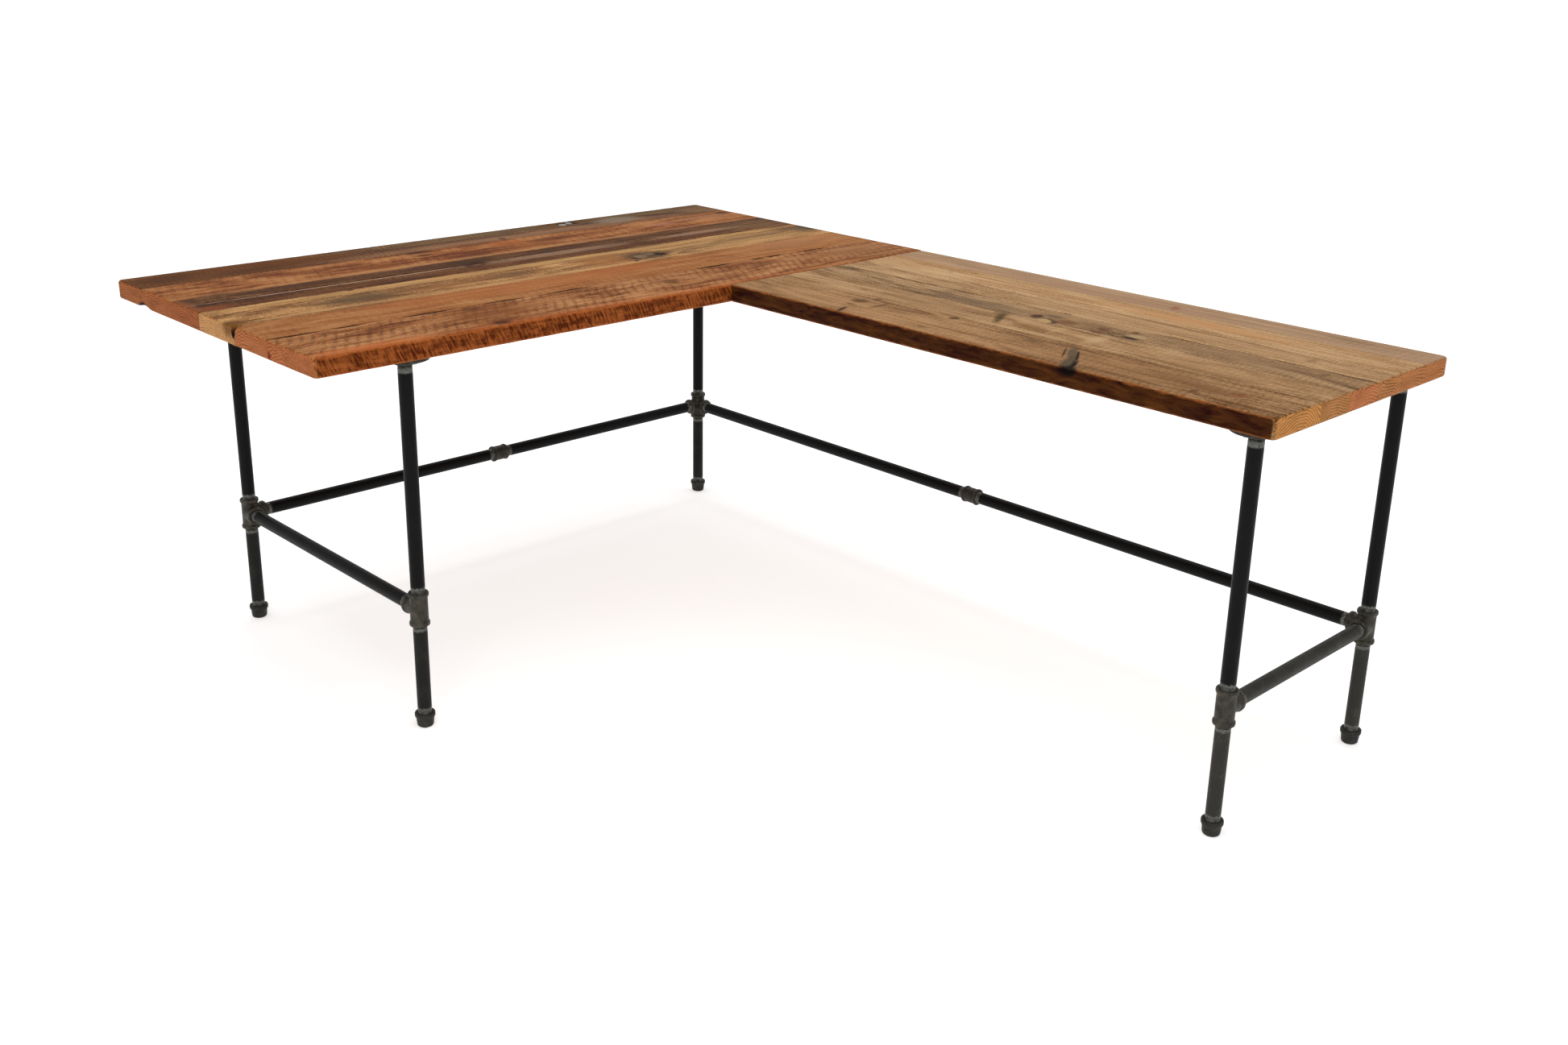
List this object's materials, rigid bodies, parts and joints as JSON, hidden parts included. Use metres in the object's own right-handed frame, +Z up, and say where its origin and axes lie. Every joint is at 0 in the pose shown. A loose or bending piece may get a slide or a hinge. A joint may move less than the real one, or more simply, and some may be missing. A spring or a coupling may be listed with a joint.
{
  "type": "corner desk",
  "caption": "L-shaped corner desk: two reclaimed-plank tops butted at a right angle on legs and low rails of black threaded iron pipe with cast fittings.",
  "frame": {"origin": "on the floor, under the middle of the desk's outer box", "axes": "+Z up; +X along the main top, towards the end where the return joins; +Y from the return's free end towards the main top's back edge"},
  "size_m": [1.516, 2.032, 0.762],
  "materials": {
    "main_top_wood": "waxed reclaimed softwood, rough-sawn in places, brown to tan plank by plank",
    "return_top_wood": "waxed reclaimed softwood, lighter tan to grey-brown plank by plank",
    "black_pipe": "black lacquered iron pipe, satin, bright cut threads at the ends",
    "malleable_iron": "black malleable iron, fine cast grain, slightly oily",
    "plate_steel": "mill-finish flat steel",
    "screw_steel": "zinc-grey pan-head wood screws"
  },
  "bodies": {
    "root": {"flange_corner": "malleable_iron", "flange_left_back": "malleable_iron", "flange_left_front": "malleable_iron", "flange_return_back": "malleable_iron", "flange_return_front": "malleable_iron", "flange_screws_corner": "screw_steel", "flange_screws_left_back": "screw_steel", "flange_screws_left_front": "screw_steel", "flange_screws_return_back": "screw_steel", "flange_screws_return_front": "screw_steel", "foot_cap_corner": "malleable_iron", "foot_cap_left_back": "malleable_iron", "foot_cap_left_front": "malleable_iron", "foot_cap_return_back": "malleable_iron", "foot_cap_return_front": "malleable_iron", "lower_pipe_corner": "black_pipe", "lower_pipe_left_back": "black_pipe", "lower_pipe_left_front": "black_pipe", "lower_pipe_return_back": "black_pipe", "lower_pipe_return_front": "black_pipe", "main_plank_1": "main_top_wood", "main_plank_2": "main_top_wood", "main_plank_3": "main_top_wood", "main_plank_4": "main_top_wood", "main_plank_5": "main_top_wood", "main_plank_6": "main_top_wood", "rail_back_coupling": "malleable_iron", "rail_back_pipe_1": "black_pipe", "rail_back_pipe_2": "black_pipe", "rail_end_pipe": "black_pipe", "rail_left_pipe": "black_pipe", "rail_side_coupling": "malleable_iron", "rail_side_pipe_1": "black_pipe", "rail_side_pipe_2": "black_pipe", "return_plank_1": "return_top_wood", "return_plank_2": "return_top_wood", "return_plank_3": "return_top_wood", "return_plank_4": "return_top_wood", "return_plank_5": "return_top_wood", "return_plank_6": "return_top_wood", "seam_plate_inner": "plate_steel", "seam_plate_outer": "plate_steel", "seam_screws_inner": "screw_steel", "seam_screws_outer": "screw_steel", "side_outlet_tee_corner": "malleable_iron", "side_outlet_tee_left_back": "malleable_iron", "side_outlet_tee_return_back": "malleable_iron", "tee_left_front": "malleable_iron", "tee_return_front": "malleable_iron", "upper_pipe_corner": "black_pipe", "upper_pipe_left_back": "black_pipe", "upper_pipe_left_front": "black_pipe", "upper_pipe_return_back": "black_pipe", "upper_pipe_return_front": "black_pipe"}
  },
  "joints": []
}
